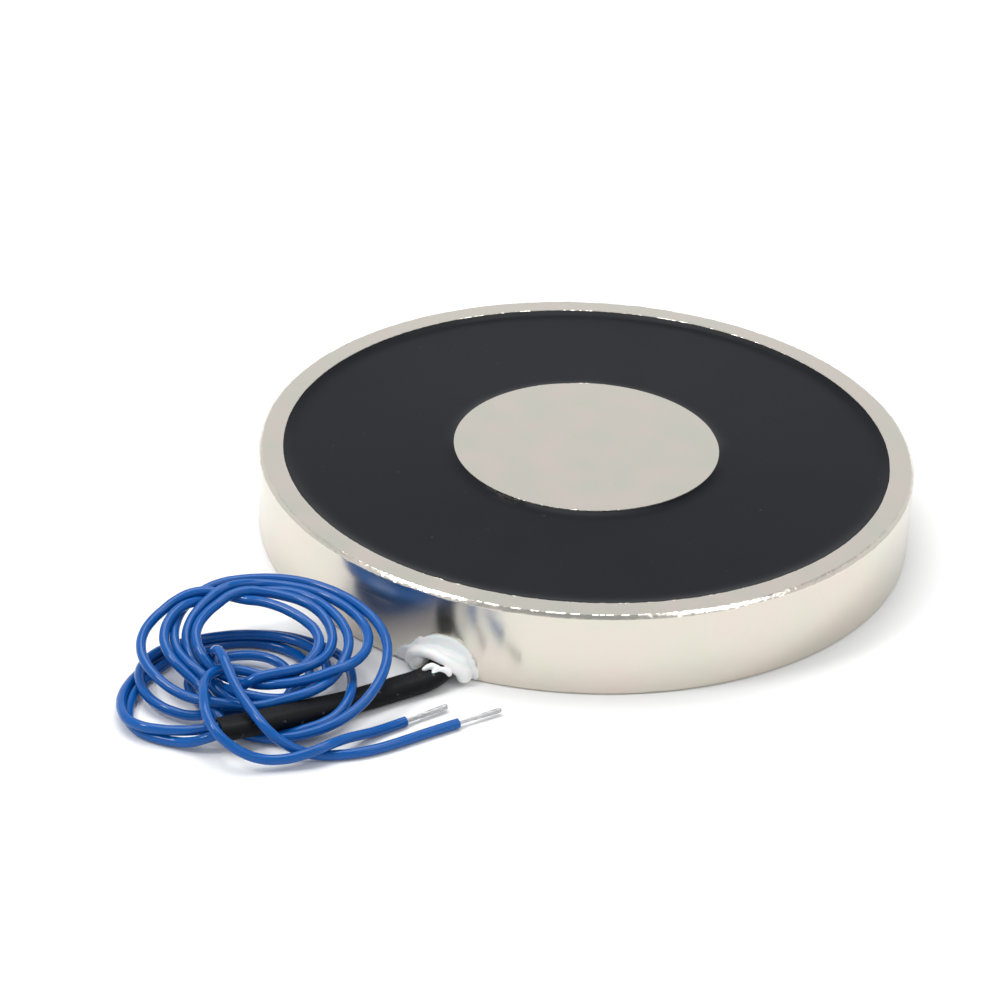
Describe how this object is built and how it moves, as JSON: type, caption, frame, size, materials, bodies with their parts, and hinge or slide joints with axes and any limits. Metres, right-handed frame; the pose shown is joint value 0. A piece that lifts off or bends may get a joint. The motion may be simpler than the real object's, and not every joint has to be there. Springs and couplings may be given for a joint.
{
  "type": "holding electromagnet",
  "caption": "Flat round holding electromagnet: plated steel pot with a centre pole, winding cast in black resin, and blue leads that leave low at the side and lie in a loose coil.",
  "frame": {"origin": "centre of the pot's back face, on the axis of its tapped hole", "axes": "+Z out of the holding face, -Y towards the side where the leads leave"},
  "size_m": [0.1, 0.1347, 0.013],
  "materials": {
    "nickel_plated_steel": "satin nickel plating on turned steel",
    "former_nylon": "moulded, natural nylon",
    "magnet_wire": "enamelled copper",
    "polyester_tape": "glossy film",
    "casting_resin": "cast, satin black",
    "solder": "dull solder",
    "glass_fibre_sleeve": "woven glass fibre",
    "blue_pvc": "extruded, satin",
    "black_tubing": "extruded, dull black",
    "silicone_sealant": "smooth, slightly translucent white",
    "tinned_copper": "twisted strands, solder dipped"
  },
  "bodies": {
    "root": {"pot": "nickel_plated_steel", "former": "former_nylon", "winding": "magnet_wire", "winding_tape": "polyester_tape", "casting_resin": "casting_resin", "start_tail": "magnet_wire", "finish_tail": "magnet_wire", "start_joint": "solder", "finish_joint": "solder", "start_joint_sleeve": "glass_fibre_sleeve", "finish_joint_sleeve": "glass_fibre_sleeve", "lead_a_run": "blue_pvc", "lead_b_run": "blue_pvc", "exit_sleeve": "black_tubing", "sealant": "silicone_sealant", "lead_coil": "blue_pvc", "lead_a_end": "blue_pvc", "lead_b_end": "blue_pvc", "lead_a_tip": "tinned_copper", "lead_b_tip": "tinned_copper"}
  },
  "joints": []
}
